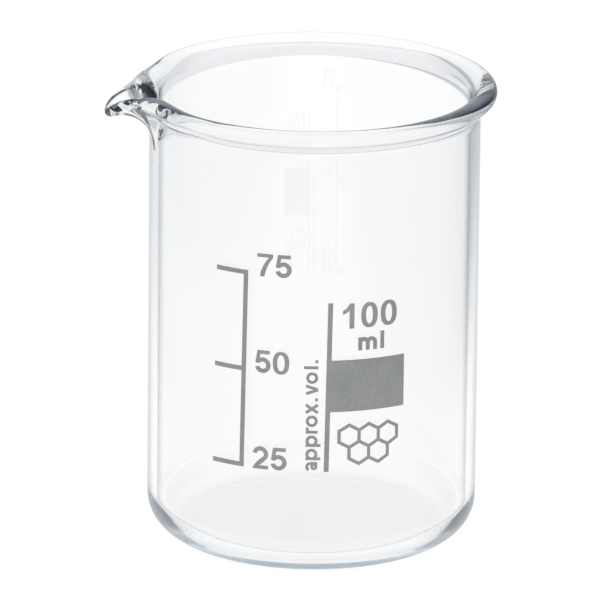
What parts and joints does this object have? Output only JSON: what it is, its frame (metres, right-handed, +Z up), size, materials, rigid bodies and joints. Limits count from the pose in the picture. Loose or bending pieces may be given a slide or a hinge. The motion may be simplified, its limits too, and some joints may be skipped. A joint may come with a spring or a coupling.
{
  "type": "beaker",
  "caption": "Low-form glass laboratory beaker with a rolled rim, a drawn pouring spout and a printed volume scale.",
  "frame": {"origin": "centre of the flat base, on the axis of the wall", "axes": "+Z up along the axis of the wall; the spout points along -X; the printed scale faces -Y, turned 13 degrees towards -X"},
  "size_m": [0.0597, 0.0548, 0.0709],
  "materials": {
    "glass": "clear fire-polished borosilicate glass",
    "enamel": "matt grey fired enamel print"
  },
  "bodies": {
    "root": {"glass_body": "glass", "scale_ladder": "enamel", "numeral_25": "enamel", "numeral_50": "enamel", "numeral_75": "enamel", "capacity_bar": "enamel", "numeral_100": "enamel", "unit_ml": "enamel", "approx_legend": "enamel", "maker_mark": "enamel"}
  },
  "joints": []
}
